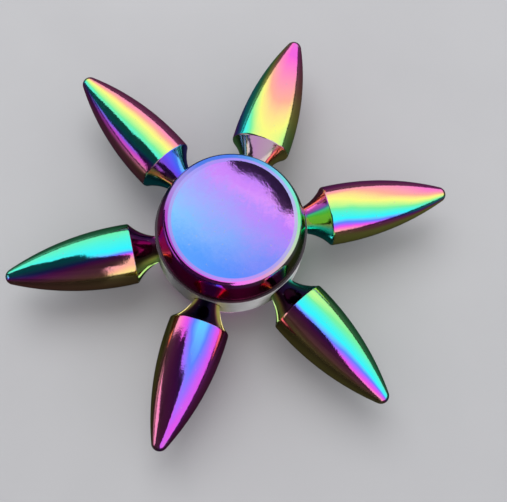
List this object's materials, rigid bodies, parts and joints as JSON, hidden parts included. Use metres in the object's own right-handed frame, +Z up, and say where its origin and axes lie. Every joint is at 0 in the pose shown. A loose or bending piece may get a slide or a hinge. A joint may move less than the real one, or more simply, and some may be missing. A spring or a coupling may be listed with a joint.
{
  "type": "fidget spinner",
  "caption": "Fidget spinner with bullet-shaped arms screwed into a hub ring that turns on a shielded ball bearing, held between two dished finger caps.",
  "frame": {"origin": "on the spin axis, at the flat rim of the lower finger cap that the spinner stands on", "axes": "+Z up along the spin axis, +X out along arm 1"},
  "size_m": [0.073, 0.0636, 0.0174],
  "materials": {
    "rainbow_plating": "mirror polish with an iridescent rainbow plating",
    "rainbow_cap": "mirror polish with an iridescent violet to blue plating",
    "satin_steel": "satin turned",
    "bearing_steel": "ground",
    "cage_steel": "pressed and tumbled",
    "ball_steel": "mirror polish",
    "shield_steel": "pressed, lightly brushed",
    "spring_steel": "dark spring temper"
  },
  "bodies": {
    "held_caps": {"top_cap": "rainbow_cap", "bottom_cap": "rainbow_cap", "inner_race": "bearing_steel"},
    "rotor": {"hub_ring": "satin_steel", "arm_1": "rainbow_plating", "arm_2": "rainbow_plating", "arm_3": "rainbow_plating", "arm_4": "rainbow_plating", "arm_5": "rainbow_plating", "arm_6": "rainbow_plating", "outer_race": "bearing_steel", "upper_shield": "shield_steel", "lower_shield": "shield_steel", "upper_snap_ring": "spring_steel", "lower_snap_ring": "spring_steel"},
    "cage": {"ball_cage": "cage_steel"},
    "ball_1": {"ball_1": "ball_steel"},
    "ball_2": {"ball_2": "ball_steel"},
    "ball_3": {"ball_3": "ball_steel"},
    "ball_4": {"ball_4": "ball_steel"},
    "ball_5": {"ball_5": "ball_steel"},
    "ball_6": {"ball_6": "ball_steel"},
    "ball_7": {"ball_7": "ball_steel"},
    "ball_8": {"ball_8": "ball_steel"},
    "ball_9": {"ball_9": "ball_steel"},
    "ball_10": {"ball_10": "ball_steel"}
  },
  "joints": [
    {"name": "rotor_spin", "type": "hinge", "parent": "held_caps", "child": "rotor", "pos_m": [0, 0, 0.0087], "axis": [0, 0, 1], "continuous": true},
    {"name": "cage_spin", "type": "hinge", "parent": "held_caps", "child": "cage", "pos_m": [0, 0, 0.0087], "axis": [0, 0, 1], "continuous": true},
    {"name": "ball_1_spin", "type": "hinge", "parent": "cage", "child": "ball_1", "pos_m": [0.00476, 0, 0.0087], "axis": [0, 0, 1], "continuous": true},
    {"name": "ball_2_spin", "type": "hinge", "parent": "cage", "child": "ball_2", "pos_m": [0.00385, 0.0028, 0.0087], "axis": [0, 0, 1], "continuous": true},
    {"name": "ball_3_spin", "type": "hinge", "parent": "cage", "child": "ball_3", "pos_m": [0.00147, 0.00453, 0.0087], "axis": [0, 0, 1], "continuous": true},
    {"name": "ball_4_spin", "type": "hinge", "parent": "cage", "child": "ball_4", "pos_m": [-0.00147, 0.00453, 0.0087], "axis": [0, 0, 1], "continuous": true},
    {"name": "ball_5_spin", "type": "hinge", "parent": "cage", "child": "ball_5", "pos_m": [-0.00385, 0.0028, 0.0087], "axis": [0, 0, 1], "continuous": true},
    {"name": "ball_6_spin", "type": "hinge", "parent": "cage", "child": "ball_6", "pos_m": [-0.00476, 0, 0.0087], "axis": [0, 0, 1], "continuous": true},
    {"name": "ball_7_spin", "type": "hinge", "parent": "cage", "child": "ball_7", "pos_m": [-0.00385, -0.0028, 0.0087], "axis": [0, 0, 1], "continuous": true},
    {"name": "ball_8_spin", "type": "hinge", "parent": "cage", "child": "ball_8", "pos_m": [-0.00147, -0.00453, 0.0087], "axis": [0, 0, 1], "continuous": true},
    {"name": "ball_9_spin", "type": "hinge", "parent": "cage", "child": "ball_9", "pos_m": [0.00147, -0.00453, 0.0087], "axis": [0, 0, 1], "continuous": true},
    {"name": "ball_10_spin", "type": "hinge", "parent": "cage", "child": "ball_10", "pos_m": [0.00385, -0.0028, 0.0087], "axis": [0, 0, 1], "continuous": true}
  ],
  "couplings": [
    {"joint": "cage_spin", "follows": "rotor_spin", "ratio": 0.58333},
    {"joint": "ball_1_spin", "follows": "rotor_spin", "ratio": 2.9167},
    {"joint": "ball_2_spin", "follows": "rotor_spin", "ratio": 2.9167},
    {"joint": "ball_3_spin", "follows": "rotor_spin", "ratio": 2.9167},
    {"joint": "ball_4_spin", "follows": "rotor_spin", "ratio": 2.9167},
    {"joint": "ball_5_spin", "follows": "rotor_spin", "ratio": 2.9167},
    {"joint": "ball_6_spin", "follows": "rotor_spin", "ratio": 2.9167},
    {"joint": "ball_7_spin", "follows": "rotor_spin", "ratio": 2.9167},
    {"joint": "ball_8_spin", "follows": "rotor_spin", "ratio": 2.9167},
    {"joint": "ball_9_spin", "follows": "rotor_spin", "ratio": 2.9167},
    {"joint": "ball_10_spin", "follows": "rotor_spin", "ratio": 2.9167}
  ]
}
